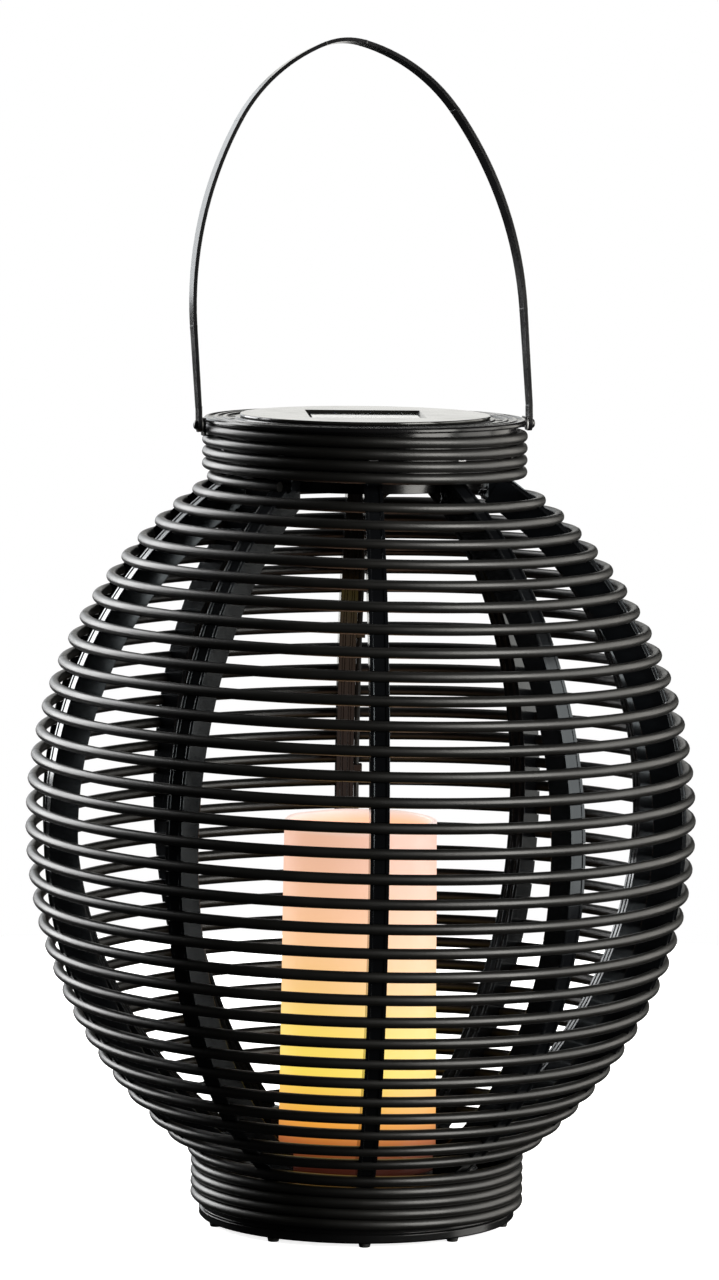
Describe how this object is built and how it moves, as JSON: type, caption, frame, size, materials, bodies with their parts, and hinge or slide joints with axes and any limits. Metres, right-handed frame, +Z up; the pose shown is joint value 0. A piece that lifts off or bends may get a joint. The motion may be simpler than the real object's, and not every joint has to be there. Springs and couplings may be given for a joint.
{
  "type": "solar garden lantern",
  "caption": "Round garden lantern of black wound rod on curved ribs, with a solar lid, an electric pillar candle inside and a swinging bail handle.",
  "frame": {"origin": "on the ground under the lantern's axis", "axes": "+Z up along the axis, -Y towards the front rib, +X to the right"},
  "size_m": [0.317, 0.3169, 0.5595],
  "materials": {
    "rod": "satin extruded round rod",
    "rib": "satin moulded",
    "frame": "satin moulded",
    "foot": "matte",
    "steel": "plated",
    "wax": "translucent, lit from inside",
    "lens": "clear warm lens",
    "board_white": "solder mask",
    "ivory": "satin",
    "lid": "satin to gloss",
    "cell": "silicon cells under resin",
    "glass": "clear cover",
    "battery": "printed sleeve, plain",
    "spring_metal": "sprung",
    "board_green": "solder mask",
    "switch_grey": "satin",
    "lead": "matte sleeve",
    "bail": "glossy black enamel",
    "washer": "nylon"
  },
  "bodies": {
    "cage": {"rib_1": "rib", "rib_2": "rib", "rib_3": "rib", "rib_4": "rib", "rib_5": "rib", "rib_6": "rib", "rib_7": "rib", "rib_8": "rib", "rib_9": "rib", "rib_10": "rib", "collar_winding": "rod", "body_winding_1": "rod", "body_winding_2": "rod", "body_winding_3": "rod", "body_winding_4": "rod", "body_winding_5": "rod", "body_winding_6": "rod", "base_winding": "rod", "top_frame": "frame", "base_ring": "frame", "base_floor": "frame", "candle_tray": "frame", "feet": "foot", "rib_screws_top": "steel", "rib_screws_base": "steel", "floor_screws": "steel", "candle_shell": "wax", "candle_base": "ivory", "candle_board": "board_white", "candle_leds": "lens", "candle_screws": "steel", "lead_socket": "frame", "lead": "lead", "lead_clips": "frame", "bail_bracket_left": "bail", "bail_bracket_right": "bail", "bail_rivets": "bail", "bail_washers": "washer"},
    "solar_unit": {"lid_cover": "lid", "lid_housing": "frame", "lid_seal": "foot", "solar_cell": "cell", "panel_glass": "glass", "battery": "battery", "battery_contacts": "spring_metal", "battery_door": "frame", "battery_door_screws": "steel", "charge_board": "board_green", "switch_body": "switch_grey", "lid_screws": "steel", "contact_blades": "spring_metal"},
    "switch": {"switch_slider": "switch_grey"},
    "bail": {"bail": "bail"}
  },
  "joints": [
    {"name": "bail_swing", "type": "hinge", "parent": "cage", "child": "bail", "pos_m": [0, 0, 0.3786], "axis": [0.9848, 0.1736, 0], "range_deg": [-113, 121]},
    {"name": "lid_lift", "type": "slide", "parent": "cage", "child": "solar_unit", "axis": [0, 0, 1], "range_m": [0, 0.06]},
    {"name": "switch_slide", "type": "slide", "parent": "solar_unit", "child": "switch", "axis": [1, 0, 0], "range_m": [0, 0.004]}
  ]
}
